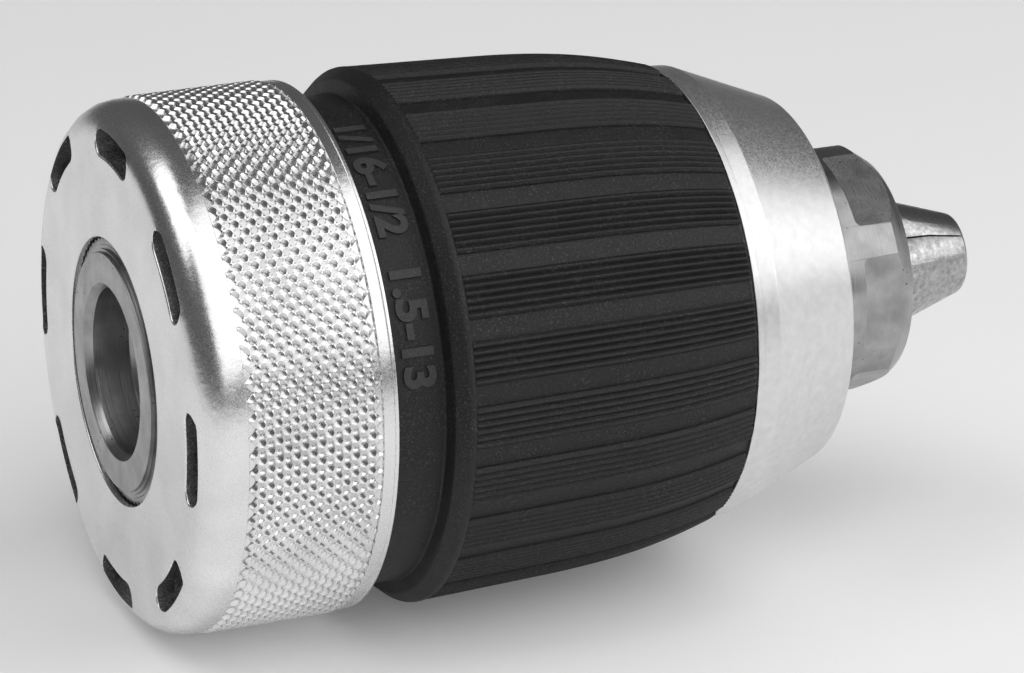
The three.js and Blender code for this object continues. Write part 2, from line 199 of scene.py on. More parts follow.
def connect(shader, **wires):
    for socket, wire in wires.items():
        wire.tree.links.new(wire.socket, shader.inputs[socket.replace("_", " ")])


# %% [markdown]
# Noise is measured by the size of its grain. Lathe work leaves rings, so its noise reads only the
# distance along the axis and the distance from it: the same value all the way round.


# %% Grain, turning lines and bumps
def grain(place, size, detail=2.0, roughness=0.5):
    """Noise from 0 to 1 whose grains are about `size` millimetres."""
    sizes = {"Vector": place, "Scale": 1 / size, "Detail": detail, "Roughness": roughness}
    return place.node("ShaderNodeTexNoise", {"noise_dimensions": "3D"}, sizes)


def around(place):
    """x, the distance from the axis and the angle round it."""
    x, y, z = place.split()
    return x, (y * y + z * z) ** 0.5, place.math("ARCTAN2", z, y)


def turning_lines(place, pitch, wander=0.5):
    """Rings left by a lathe tool, fading in and out a little on the way round."""
    x, radius, angle = around(place)
    rings = place.vector(x / pitch, radius / pitch, angle * wander)
    scale = {"Vector": rings, "Scale": 1.0, "Detail": 3.0, "Roughness": 0.6}
    return place.node("ShaderNodeTexNoise", {"noise_dimensions": "3D"}, scale)


def bump(height, depth, strength=1.0, under=None):
    """Turn a height from 0 to 1 into a tilt of the surface, `depth` millimetres deep."""
    inputs = {"Height": height, "Distance": depth * MM, "Strength": strength}
    if under is not None:
        inputs["Normal"] = under
    return height.node("ShaderNodeBump", inputs=inputs, output="Normal")


def greys(mask, dark, light):
    """Mix two greys by a mask from 0 to 1."""
    pair = {"Factor": mask, "A": (dark, dark, dark, 1), "B": (light, light, light, 1)}
    mix = mask.node("ShaderNodeMix", {"data_type": "RGBA"})
    for name, value in pair.items():
        sockets = [s for s in mix.socket.node.inputs if s.name == name and s.enabled]
        if isinstance(value, Wire):
            mask.tree.links.new(value.socket, sockets[0])
        else:
            sockets[0].default_value = value
    return next(Wire(mask.tree, s) for s in mix.socket.node.outputs if s.enabled)


# %% [markdown]
# **Bright plate** is the pressed cup's finish. Pressing leaves the sheet with a soft orange peel,
# and the plating copies it, so the highlights break up without looking rough.


# %% Bright plate on pressed steel
def bright_plate():
    material, shader, place = new_finish("bright_plate", Metallic=1.0)
    peel = grain(place, 0.9, detail=3)
    fine = grain(place, 0.16, detail=2)
    cloud = grain(place, 6.0)
    connect(
        shader,
        Base_Color=greys(cloud.ramp(0.35, 0.65), 0.74, 0.84),
        Roughness=fine.ramp(0.3, 0.7, 0.2, 0.3),
        Normal=bump(fine, 0.004, under=bump(peel, 0.02)),
    )
    return material


# %% [markdown]
# **Satin steel** is blasted before it is plated. A grain of about a tenth of a millimetre spreads
# each highlight and leaves tiny glints.


# %% Satin plate on the front sleeve
def satin_steel():
    material, shader, place = new_finish("satin_steel", Metallic=1.0)
    blast = grain(place, 0.2, detail=2, roughness=0.6)
    cloud = grain(place, 0.8, detail=4, roughness=0.6)
    lines = turning_lines(place, 0.12)
    connect(
        shader,
        Base_Color=greys(cloud.ramp(0.3, 0.7), 0.69, 0.78),
        Roughness=blast.ramp(0.3, 0.7, 0.3, 0.46),
        Normal=bump(blast, 0.004, under=bump(lines, 0.002)),
    )
    return material


# %% [markdown]
# **Machined steel** is bare. It shows the tool's rings, dull patches of oil and a few small pits,
# which are cells of a Voronoi texture kept only where a second noise is high.


# %% Machined steel with turning lines and pits
def machined_steel():
    material, shader, place = new_finish("machined_steel", Metallic=1.0)
    lines = turning_lines(place, 0.07)
    cloud = grain(place, 2.4, detail=4)
    cells = {"Vector": place, "Scale": 1 / 0.55}
    near = place.node("ShaderNodeTexVoronoi", {"feature": "F1"}, cells, output="Distance")
    pits = near.ramp(0.1, 0.2, 1.0, 0.0) * grain(place, 2.8).ramp(0.57, 0.62)
    clean = 1 - pits
    connect(
        shader,
        Base_Color=greys(clean * cloud.ramp(0.25, 0.75, 0.5, 1.0), 0.03, 0.46),
        Roughness=lines.ramp(0.3, 0.7, 0.24, 0.4) + pits * 0.3,
        Normal=bump(clean, 0.02, under=bump(lines, 0.014)),
    )
    return material


# %% [markdown]
# **Jaw steel** is hardened and ground: mottled, a little darker, with scratches along the jaw.


# %% Hardened, ground steel of the jaws
def jaw_steel():
    material, shader, place = new_finish("jaw_steel", Metallic=1.0)
    mottle = grain(place, 0.5, detail=4, roughness=0.65)
    x, y, z = place.split()
    scratches = grain(place.vector(x / 8, y, z), 0.12, detail=2)
    connect(
        shader,
        Base_Color=greys(mottle.ramp(0.3, 0.7), 0.26, 0.54),
        Roughness=mottle.ramp(0.3, 0.7, 0.38, 0.24),
        Normal=bump(scratches, 0.006, under=bump(mottle, 0.008)),
    )
    return material


# %% [markdown]
# ** Black plastic** is glass-filled nylon with a moulded grain. Its fine grey speckle is partly dust and
# partly painted glints of the grain, and rubbing makes it a little paler where fingers touch it.


# %% Moulded black plastic of the grip
def black_plastic(name, dark, light):
    material, shader, place = new_finish(name, Metallic=0.0, Specular_IOR_Level=0.4)
    spark = grain(place, 0.17, detail=4, roughness=0.75)
    rub = grain(place, 3.5, detail=3)
    # paler speckle painted into the colour: partly dust, partly painted glints of light on the grain
    dust_and_glint = spark.ramp(0.53, 0.74) * rub.ramp(0.35, 0.65, 0.35, 1.0)
    connect(
        shader,
        Base_Color=greys(dust_and_glint, dark, light),
        Roughness=rub.ramp(0.3, 0.7, 0.42, 0.55),
        Normal=bump(spark, 0.06),
    )
    return material


# %% [markdown]
# The hidden parts are steel too: oiled and turned (nut), ground (races, rings), pressed (cage) and
# polished (balls). One function makes them, because they differ only in a few numbers.


# %% Plain steels of the inner parts
def inner_steel(name, dark, light, smooth, dull, pitch):
    material, shader, place = new_finish(name, Metallic=1.0)
    lines = turning_lines(place, pitch)
    film = grain(place, 1.5, detail=3)
    connect(
        shader,
        Base_Color=greys(film.ramp(0.3, 0.7), dark, light),
        Roughness=film.ramp(0.3, 0.7, smooth, dull),
        Normal=bump(lines, 0.005),
    )
    return material


FINISHES = {
    "bright_plate": bright_plate(),
    "satin_steel": satin_steel(),
    "machined_steel": machined_steel(),
    "jaw_steel": jaw_steel(),
    "black_plastic": black_plastic("black_plastic", 0.005, 0.1),
    # a paler copy of the black plastic, used for the raised capacity figures on the collar
    "paler_mark_plastic": black_plastic("paler_mark_plastic", 0.034, 0.12),
    "nut_steel": inner_steel("nut_steel", 0.36, 0.52, 0.3, 0.45, 0.1),
    "hard_steel": inner_steel("hard_steel", 0.46, 0.58, 0.18, 0.3, 0.05),
    "cage_steel": inner_steel("cage_steel", 0.5, 0.62, 0.28, 0.4, 0.2),
    "ball_steel": inner_steel("ball_steel", 0.68, 0.76, 0.06, 0.1, 0.4),
}
print("finishes:", ", ".join(FINISHES))

# %% [markdown]
# ## Mesh helpers
#
# Most parts of a chuck come off a lathe. A turned part is an outline of (x, radius) points swept
# round the axis, and each corner can carry a small fillet, because a real edge is never perfectly
# sharp: its narrow highlight is what makes it look like metal.


# %% Round the corners of an outline
def rounded(corners):
    """Points of a closed outline whose corners are (x, radius) or (x, radius, fillet)."""
    points = []
    for i, (x, radius, *fillet) in enumerate(corners):
        here = Vector((x, radius))
        if not fillet:
            points.append(here)
            continue
        back = (Vector(corners[i - 1][:2]) - here).normalized()
        ahead = (Vector(corners[(i + 1) % len(corners)][:2]) - here).normalized()
        half = back.angle(ahead) / 2
        centre = here + (back + ahead).normalized() * fillet[0] / math.sin(half)
        start = here + back * fillet[0] / math.tan(half) - centre
        end = here + ahead * fillet[0] / math.tan(half) - centre
        sweep = math.pi - 2 * half
        steps = max(2, round(math.degrees(sweep) / 18))
        for step in range(steps + 1):
            share = step / steps
            mixed = start * math.sin((1 - share) * sweep) + end * math.sin(share * sweep)
            points.append(centre + mixed / math.sin(sweep))
    return points


# %% [markdown]
# A sweep makes a ring of quads for each step round the axis, so the solid is closed by itself. The
# cutters need solids too: a prism joins two copies of a flat outline. Cutting is exact Boolean work.


# %% Turn an outline into a mesh, and other mesh helpers
def from_faces(name, points, faces):
    """A mesh object, in metres, of points in millimetres. Its faces are made to point outwards."""
    bm = bmesh.new()
    made = [bm.verts.new(Vector(p) * MM) for p in points]
    for face in faces:
        bm.faces.new([made[i] for i in face])
    bmesh.ops.remove_doubles(bm, verts=bm.verts, dist=1e-7)
    bmesh.ops.recalc_face_normals(bm, faces=bm.faces)
    mesh = bpy.data.meshes.new(name)
    bm.to_mesh(mesh)
    bm.free()
    piece = bpy.data.objects.new(name, mesh)
    bpy.context.collection.objects.link(piece)
    return piece


def turned(name, corners, columns, rule=None):
    """A lathe part from a closed outline. `rule` may change a point's radius by x and angle."""
    outline = rounded(corners)
    points = []
    for column in range(columns):
        angle = 2 * math.pi * column / columns
        for x, radius in outline:
            if rule:
                radius = rule(x, radius, angle)
            points.append((x, radius * math.cos(angle), radius * math.sin(angle)))
    rows = len(outline)
    faces = []
    for column in range(columns):
        here = column * rows
        there = (column + 1) % columns * rows
        for row in range(rows):
            ahead = (row + 1) % rows
            faces.append((here + row, here + ahead, there + ahead, there + row))
    return from_faces(name, points, faces)


def prism(name, outline, to_low, to_high):
    """A solid between two copies of a flat outline. Each copy is placed by a function."""
    count = len(outline)
    points = [to_low(*p) for p in outline] + [to_high(*p) for p in outline]
    sides = [(i, (i + 1) % count, count + (i + 1) % count, count + i) for i in range(count)]
    faces = sides + [tuple(range(count)), tuple(range(2 * count - 1, count - 1, -1))]
    return from_faces(name, points, faces)


def straight_prism(name, outline, from_x, to_x):
    """A solid along X whose outline is given as (y, z)."""
    return prism(name, outline, lambda y, z: (from_x, y, z), lambda y, z: (to_x, y, z))


def turn_about_axis(piece, degrees):
    piece.data.transform(Matrix.Rotation(math.radians(degrees), 4, "X"))
    return piece


def settle(piece):
    """Make the result of the piece's modifiers its plain mesh."""
    depsgraph = bpy.context.evaluated_depsgraph_get()
    mesh = bpy.data.meshes.new_from_object(piece.evaluated_get(depsgraph), depsgraph=depsgraph)
    piece.modifiers.clear()
    piece.data = mesh
    return piece


def combine(piece, tool, operation):
    """Cut, join or intersect the piece with a tool, which is thrown away."""
    step = piece.modifiers.new("combine", "BOOLEAN")
    step.operation = operation
    step.solver = "EXACT"
    step.object = tool
    settle(piece)
    bpy.data.objects.remove(tool)
    return piece


def copy_of(piece, name):
    twin = piece.copy()
    twin.data = piece.data.copy()
    twin.name = name
    bpy.context.collection.objects.link(twin)
    return twin


# %% [markdown]
# A finished piece gets smooth faces with sharp edges where they turn by more than a few degrees.
# Large flat faces would bend the light near a fillet, so the Weighted Normal modifier lets the
# large faces decide. Then the piece is told which body it moves with and which CAD node it replaces.


# %% Finish a piece and tie it to the frame
def finish_piece(piece, body, slot, *nodes, sharp=32, look=None):
    """Shade, coat and tie a piece. `look` names a finish other than the slot's own."""
    piece.data.shade_smooth()
    piece.data.set_sharp_from_angle(angle=math.radians(sharp))
    weigh = piece.modifiers.new("weigh", "WEIGHTED_NORMAL")
    weigh.keep_sharp = True
    settle(piece)
    piece.data.materials.clear()
    piece.data.materials.append(FINISHES[look or slot])
    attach(piece, body)
    if nodes:
        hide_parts(*nodes)
    print(f"{piece.name}: {len(piece.data.polygons)} faces")


# %% [markdown]
# ## Geometry Nodes, run once
#
# What repeats is grown by Geometry Nodes. The tree is built here with named inputs, the modifier
# gets its values by each socket's identifier, and the evaluated result is kept as a plain mesh.


# %% Run a Geometry Nodes tree and keep its mesh
def grown(name, build, inputs):
    """A mesh object made by a tree. `build(start, given)` returns the wire of its geometry."""
    tree = bpy.data.node_groups.new(name, "GeometryNodeTree")
    for label, value in inputs.items():
        kind = "NodeSocketInt" if isinstance(value, int) else "NodeSocketFloat"
        tree.interface.new_socket(label, in_out="INPUT", socket_type=kind)
    tree.interface.new_socket("Geometry", in_out="OUTPUT", socket_type="NodeSocketGeometry")
    opening = tree.nodes.new("NodeGroupInput")
    given = {label: Wire(tree, opening.outputs[label]) for label in inputs}
    result = build(Wire(tree), given)
    closing = tree.nodes.new("NodeGroupOutput")
    tree.links.new(result.socket, closing.inputs["Geometry"])
    piece = bpy.data.objects.new(name, bpy.data.meshes.new(name))
    bpy.context.collection.objects.link(piece)
    modifier = piece.modifiers.new(name, "NODES")
    modifier.node_group = tree
    for item in tree.interface.items_tree:
        if item.in_out == "INPUT":
            modifier[item.identifier] = inputs[item.name]
    return settle(piece)


def moved(geometry, position):
    return geometry.node("GeometryNodeSetPosition", inputs={"Geometry": geometry, "Position": position})


def rolled_up(geometry):
    """Roll a flat sheet round the X axis: its y is an angle and its z a distance from the axis."""
    x, angle, radius = geometry.node("GeometryNodeInputPosition").split()
    angle = angle.math("MULTIPLY", angle, -1)
    across = radius * angle.math("COSINE", angle)
    up = radius * angle.math("SINE", angle)
    return moved(geometry, geometry.vector(x, across, up))


def skirted(geometry, depth):
    """Fold the open rim of a sheet towards the axis, so that no edge floats."""
    uses = geometry.node("GeometryNodeInputMeshEdgeNeighbors")
    rim = geometry.node("FunctionNodeCompare", {"data_type": "INT", "operation": "EQUAL"})
    tree = geometry.tree
    whole = [s for s in rim.socket.node.inputs if s.enabled]
    tree.links.new(uses.socket, whole[0])
    whole[1].default_value = 1
    x, y, z = geometry.node("GeometryNodeInputPosition").split()
    pull = (y * y + z * z) ** -0.5 * depth * -1
    inward = geometry.vector(0.0, y * pull, z * pull)
    sheet = {"Mesh": geometry, "Selection": rim, "Offset": inward, "Offset Scale": 1.0}
    return geometry.node("GeometryNodeExtrudeMesh", {"mode": "EDGES"}, sheet)


def realized(geometry, slot):
    plain = geometry.node("GeometryNodeRealizeInstances", inputs={"Geometry": geometry})
    material = {"Geometry": plain, "Material": FINISHES[slot]}
    return geometry.node("GeometryNodeSetMaterial", inputs=material)


# %% [markdown]
# ## The rear ring
#
# The ring is a cup pressed from sheet steel, with a large round at its rim. Its wall is turned
# here, with a shallow bed where the knurl lies. Eight curved slots are cut by one bent bar, whose
# outline widens near the face, so that the cut leaves a rounded lip as a punch does.

# %% Turn the cup
RING_WALL = 1.6
RIM_ROUND = 3.0
HOLE_RADIUS = 11.1
KNURL_DEPTH = 0.3
plain_radius = knurl_top - 0.15
bed_radius = knurl_top - KNURL_DEPTH - 0.05
knurl_start = ring_face + 3.9
knurl_end = ring_lip - 1.3
inner_radius = knurl_top - RING_WALL
rear_ring = turned(
    "rear_ring_cup",
    [
        (ring_face, HOLE_RADIUS, 0.12),
        (ring_face, plain_radius, RIM_ROUND),
        (knurl_start, plain_radius, 0.05),
        (knurl_start + 0.1, bed_radius),
        (knurl_end - 0.1, bed_radius),
        (knurl_end, plain_radius, 0.05),
        (ring_lip - 0.42, plain_radius),
        (ring_lip - 0.36, plain_radius - 0.06),
        (ring_lip - 0.3, plain_radius),
        (ring_lip, plain_radius, 0.14),
        (ring_lip, inner_radius, 0.2),
        (ring_face + RING_WALL, inner_radius, RIM_ROUND - RING_WALL),
        (ring_face + RING_WALL, HOLE_RADIUS, 0.12),
    ],
    288,
)

# %% [markdown]
# The slot cutter is a stack of outlines. Each outline is a bent capsule: two arcs about the axis
# and two round ends, grown by an offset that follows a quarter circle near the face.

# %% Cut the eight slots
SLOT_RADIUS = 19.1
SLOT_WIDTH = 2.2
SLOT_HALF_ANGLE = math.radians(8.6)
SLOT_ANGLE = 2.4
SLOT_LIP = 0.15


def slot_outline(grow):
    """Points (y, z) of one slot's outline, widened by `grow`."""
    half = SLOT_WIDTH / 2 + grow
    points = []
    for step in range(13):
        angle = SLOT_HALF_ANGLE * (step / 6 - 1)
        points.append(Vector((math.cos(angle), math.sin(angle))) * (SLOT_RADIUS + half))
    for side in (1, -1):
        middle = side * SLOT_HALF_ANGLE
        end = Vector((math.cos(middle), math.sin(middle))) * SLOT_RADIUS
        start = middle if side > 0 else middle - math.pi
        for step in range(1, 8):
            angle = start + math.pi * step / 8
            points.append(end + Vector((math.cos(angle), math.sin(angle))) * half)
        if side > 0:
            for step in range(13):
                angle = SLOT_HALF_ANGLE * (1 - step / 6)
                points.append(Vector((math.cos(angle), math.sin(angle))) * (SLOT_RADIUS - half))
    return points


def slot_cutter():
    levels = [(-1.0, SLOT_LIP)]
    for step in range(5):
        turn = math.radians(90 * step / 4)
        levels.append((SLOT_LIP * (1 - math.cos(turn)), SLOT_LIP * (1 - math.sin(turn))))
    levels.append((RIM_ROUND + 1, 0.0))
    points = []
    for depth, grow in levels:
        points += [(ring_face + depth, *p) for p in slot_outline(grow)]
    count = len(slot_outline(0))
    faces = [tuple(range(count)), tuple(range(len(points) - 1, len(points) - count - 1, -1))]
    for level in range(len(levels) - 1):
        for i in range(count):
            ahead = (i + 1) % count
            low = level * count
            faces.append((low + i, low + ahead, low + count + ahead, low + count + i))
    return from_faces("slot_cutter", points, faces)


for number in range(8):
    combine(rear_ring, turn_about_axis(slot_cutter(), SLOT_ANGLE + 45 * number), "DIFFERENCE")
finish_piece(rear_ring, "chuck_frame", "bright_plate", "rear_ring")

# %% [markdown]
# ## The knurl
#
# A knurling wheel leaves rows of small diamonds, each row shifted by half a diamond. Modelling
# more than a thousand by hand makes no sense, so one diamond is a small grid of 36 faces, copied
# to points on a flat strip, realized, and rolled round the ring. Rolling after copying makes the
# diamonds meet exactly. Each groove is deepest halfway along a side and shallow at the crossings,
# which is what gives a real knurl its leaf-shaped shadows.


# %% Grow the knurl
def knurl(start, given):
    turn = 2 * math.pi / given["Around"]
    step = given["Row Step"]
    sizes = {"Size X": 2.0, "Size Y": 2.0, "Vertices X": 7, "Vertices Y": 7}
    flat = start.node("GeometryNodeMeshGrid", inputs=sizes)
    u, v, _ = start.node("GeometryNodeInputPosition").split()

    def land(along):
        return 1 - given["Groove Width"] * (1 - along * along * given["Narrowing"])

    def spread(across, along):
        """Move one grid line to the edge of the land, so that the edge stays crisp."""
        size = across.math("ABSOLUTE", across)
        edge = land(along)
        moved_size = size.ramp(0, EDGE_LINE) * edge + size.ramp(EDGE_LINE, 1) * (1 - edge)
        return across.math("SIGN", across) * moved_size

    def groove(across, along):
        wall = across.math("ABSOLUTE", across).ramp(EDGE_LINE, 1)
        return wall * (1 - along * along * (1 - given["Crossing Depth"]))

    sunk = u.math("MAXIMUM", groove(u, v), groove(v, u)) * given["Depth"]
    u, v = spread(u, v), spread(v, u)
    x = (u + v) * step * 0.5
    around_ring = (u - v) * turn * 0.25
    diamond = moved(flat, start.vector(x, around_ring, given["Radius"] - sunk))
    count = given["Around"] * given["Rows"]
    index = start.node("GeometryNodeInputIndex")
    row = index.math("FLOOR", (index + 0.5) / given["Around"])
    column = index - row * given["Around"]
    shift = row.math("MODULO", row, 2.0) * 0.5
    spot = start.vector(given["First Row"] + row * step, (column + shift) * turn, 0.0)
    points = start.node("GeometryNodePoints", inputs={"Count": count, "Position": spot})
    copies = start.node("GeometryNodeInstanceOnPoints", inputs={"Points": points, "Instance": diamond})
    strip = realized(copies, "bright_plate")
    ring = rolled_up(strip)
    joined = start.node("GeometryNodeMergeByDistance", inputs={"Geometry": ring, "Distance": 0.00001})
    return realized(skirted(joined, given["Skirt"]), "bright_plate")


EDGE_LINE = 2 / 3
ROWS = 15
row_step = (knurl_end - knurl_start) / (ROWS + 1)
knurl_band = grown(
    "rear_ring_knurl",
    knurl,
    {
        "Around": 94,
        "Rows": ROWS,
        "Radius": (knurl_top - 0.005) * MM,
        "Row Step": row_step * MM,
        "First Row": (knurl_start + row_step) * MM,
        "Depth": KNURL_DEPTH * MM,
        "Groove Width": 0.66,
        "Narrowing": 0.6,
        "Crossing Depth": 0.3,
        "Skirt": 0.12 * MM,
    },
)
finish_piece(knurl_band, "chuck_frame", "bright_plate", sharp=16)

# %% [markdown]
# ## The body
#
# The body is one bar of steel: a boss with a threaded socket at the rear, a flange that carries the
# ring, a long barrel, a neck for the bearing and nut, and the nose. It is turned first. Then the
# three slanting jaw channels and the six spanner flats are cut, as a workshop would do it.
#
# A thread is a ridge whose height depends on x and on the angle together. The `rule` of `turned`
# gives exactly that: it raises and lowers the radius along a helix, and fades out at both ends.

# %% Thread and serrations as rules
THREAD_PITCH = 1.27
THREAD_START = 4.7
THREAD_END = 17.0
THREAD_MINOR = 5.75
THREAD_HEIGHT = 0.55
SEAT_RADIUS = 10.8
SEAT_TEETH = 72
SEAT_TOOTH = 0.24


def wave(phase):
    """A flat-topped zigzag from 0 to 1 as the phase goes from one whole number to the next."""
    tooth = abs((phase % 1) * 2 - 1)
    return min(1.0, max(0.0, (tooth - 0.15) / 0.7))


def body_rule(x, radius, angle):
    if THREAD_START < x < THREAD_END and abs(radius - THREAD_MINOR) < 0.01:
        ends = min(x - THREAD_START, THREAD_END - x)
        fade = min(1.0, ends / (0.7 * THREAD_PITCH))
        return radius + THREAD_HEIGHT * fade * wave(x / THREAD_PITCH - angle / (2 * math.pi))
    if abs(radius - SEAT_RADIUS) < 0.01:
        return radius + SEAT_TOOTH * wave(angle * SEAT_TEETH / (2 * math.pi))
    return radius


# %% [markdown]
# The outline runs along the outside to the nose and comes back through the bore. In the thread it
# has eight points for each turn, which the rule moves to draw the ridge.


# %% Turn the body
body_radius = bearing_outer - 0.4
neck_end = band_front + 0.3
jaw_slope = 0.238
neck_radius = (tip_x - neck_end) * jaw_slope + 2.7
front_radius = 11.8
groove_rear = snap_rear - 0.2
groove_front = snap_front + 0.2
nose_rear = cone_front + 0.2
seat_end = ring_face + RING_WALL + 0.3
TOOL_BORE = 6.7
thread_rows = [(THREAD_END - i * THREAD_PITCH / 8, THREAD_MINOR) for i in range(1, 77)]
chuck_body = turned(
    "chuck_body_machined",
    [
        (0, 7.34, 0.04),
        (0, 9.87, 0.08),
        (0.3, 9.87),
        (0.3, 10.1),
        (0.55, 10.1),
        (0.55, 10.4),
        (0.62, 10.45),
        (0.62, 10.68),
        (0.72, SEAT_RADIUS),
        (seat_end, SEAT_RADIUS),
        (seat_end, 14, 0.3),
        (7, 14, 0.4),
        (8, body_radius, 0.5),
        (race_rear - 0.3, body_radius, 0.25),
        (race_rear - 0.3, neck_radius, 0.3),
        (neck_end, neck_radius, 0.3),
        (neck_end, front_radius, 0.2),
        (groove_rear, front_radius, 0.05),
        (groove_rear, front_radius - 0.8, 0.05),
        (groove_front, front_radius - 0.8, 0.05),
        (groove_front, front_radius, 0.05),
        (nose_rear, front_radius, 0.2),
        (nose_rear, 10.7, 0.06),
        (nose_front - 1.7, 10.7, 0.25),
        (nose_front, 9.5, 0.12),
        (nose_front, TOOL_BORE, 0.2),
        (22, TOOL_BORE, 0.4),
        (22, 3.2, 0.2),
        (THREAD_END, 3.2, 0.15),
        (THREAD_END, THREAD_MINOR, 0.05),
        *thread_rows,
        (THREAD_START, THREAD_MINOR, 0.03),
        (3.8, 6.86, 0.05),
        (0.67, 6.86, 0.05),
    ],
    288,
    body_rule,
)
print("body turned:", len(chuck_body.data.polygons), "faces")

# %% [markdown]
# The channel for a jaw is a plain slanting bar, cut three times. A spanner flat is milled with a
# cutter that leaves round corners, so its tool is a flat shape with two rounded corners.


# %% Cut the jaw channels and the flats
JAW_RADIUS = 4.3
JAW_ANGLE = 77
CHANNEL_PLAY = 0.3
FLAT_DISTANCE = 9.9
FLAT_WIDTH = 8.3
FLAT_START = cone_front + 3.6


def slanted_bar(name, radius, from_x, to_x, sides):
    """A round bar along a jaw's own slanting axis, above the chuck's axis."""
    low = Vector((from_x, 0, (tip_x - from_x) * jaw_slope))
    high = Vector((to_x, 0, (tip_x - to_x) * jaw_slope))
    along = (high - low).normalized()
    side = Vector((0, 1, 0))
    rise = along.cross(side)
    circle = [2 * math.pi * i / sides for i in range(sides)]
    outline = [(radius * math.cos(a), radius * math.sin(a)) for a in circle]

    def placed(foot):
        return lambda a, b: foot + side * a + rise * b

    return prism(name, outline, placed(low), placed(high))


def flat_cutter():
    half = FLAT_WIDTH / 2
    rear = [(FLAT_START, -half, 0.7), (FLAT_START, half, 0.7)]
    front = [(nose_front + 2, half), (nose_front + 2, -half)]
    outline = rounded(rear + front)
    return prism("flat_cutter", outline, lambda x, y: (x, FLAT_DISTANCE, y), lambda x, y: (x, 14, y))


for number in range(3):
    bar = slanted_bar("channel", JAW_RADIUS + CHANNEL_PLAY, 5, tip_x + 2, 64)
    combine(chuck_body, turn_about_axis(bar, JAW_ANGLE - 90 + 120 * number), "DIFFERENCE")
for number in range(6):
    combine(chuck_body, turn_about_axis(flat_cutter(), 58 + 60 * number), "DIFFERENCE")
finish_piece(chuck_body, "chuck_frame", "machined_steel", "chuck_body", sharp=28)

# %% [markdown]
# ## The steel sleeve
#
# The sleeve's tube reaches back under the grip. Its front is a blunt cone with a narrow bright
# band at the edge, where the tool has left two fine steps.

# %% Turn the steel sleeve
TUBE_OUTER = bearing_outer + 1.1
TUBE_INNER = bearing_outer + 0.2
EDGE_BAND = 2.1
steel_edge = grip_front + 0.2
cone_slope = 0.389
cone_end_radius = steel_edge_radius - 0.25 - (cone_front - steel_edge - 1.6) * cone_slope
recess = snap_outer + 0.2
steel_sleeve = turned(
    "steel_sleeve_cone",
    [
        (tube_rear, TUBE_INNER, 0.15),
        (tube_rear, TUBE_OUTER, 0.2),
        (steel_edge, TUBE_OUTER),
        (steel_edge, steel_edge_radius - 0.02, 0.1),
        (steel_edge + 0.55, steel_edge_radius - 0.1),
        (steel_edge + 0.6, steel_edge_radius - 0.15),
        (steel_edge + 0.7, steel_edge_radius - 0.13),
        (steel_edge + EDGE_BAND, steel_edge_radius - 0.2, 0.5),
        (cone_front, cone_end_radius, 0.55),
        (cone_front, recess, 0.15),
        (cone_front - 1.8, recess),
        (cone_front - 1.8, front_radius + 0.3, 0.1),
        (cone_front - 3.8, front_radius + 0.3, 0.1),
        (cone_front - 3.8, recess),
        (steel_edge - 1, TUBE_INNER),
    ],
    288,
)
finish_piece(steel_sleeve, "sleeve_unit", "satin_steel", "steel_sleeve", sharp=30)

# %% [markdown]
# ## The grip
#
# The grip is moulded over the tube. Its bowed barrel follows a simple rule: a slight taper, then a
# bend that grows towards the front. The lathe outline is the surface between the ribs.


# %% Turn the bare barrel
COLLAR_RADIUS = 20.31
GRIP_INNER = 18.91
BAND_DEPTH = 0.45
TAPER = 0.04
BEND_START = 11.2
BEND = 0.00256
BEND_POWER = 2.4
shoulder_x = grip_rear + 4.2
full_x = shoulder_x + 1.6
full_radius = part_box("grip_sleeve")[1].y / MM


def barrel_radius(x):
    run = x - full_x
    return full_radius - TAPER * run - BEND * max(0.0, run - BEND_START) ** BEND_POWER


barrel_rows = [full_x + 0.75 + (grip_front - full_x - 0.75) * i / 28 for i in range(28)]
grip_sleeve = turned(
    "grip_sleeve_barrel",
    [
        (grip_rear, GRIP_INNER, 0.1),
        (grip_rear, COLLAR_RADIUS, 0.15),
        (shoulder_x, COLLAR_RADIUS, 0.25),
        (shoulder_x + 0.35, full_radius - 0.9, 0.5),
        (full_x - 0.2, full_radius - 0.01, 0.55),
        (full_x + 0.25, full_radius - 0.03, 0.12),
        (full_x + 0.4, barrel_radius(full_x) - BAND_DEPTH, 0.1),
        *[(x, barrel_radius(x) - BAND_DEPTH) for x in barrel_rows],
        (grip_front, barrel_radius(grip_front) - BAND_DEPTH),
        (grip_front, GRIP_INNER, 0.1),
    ],
    208,
)
finish_piece(grip_sleeve, "sleeve_unit", "black_plastic", "grip_sleeve", sharp=40)

# %% [markdown]
# Six fine ribs make a group, and 26 groups run round the barrel with smooth bands between them.
# One group is a sheet whose height is a wave across it. It follows the same barrel rule, so the
# rule is written once more with nodes. The groups are instances turned about the axis.


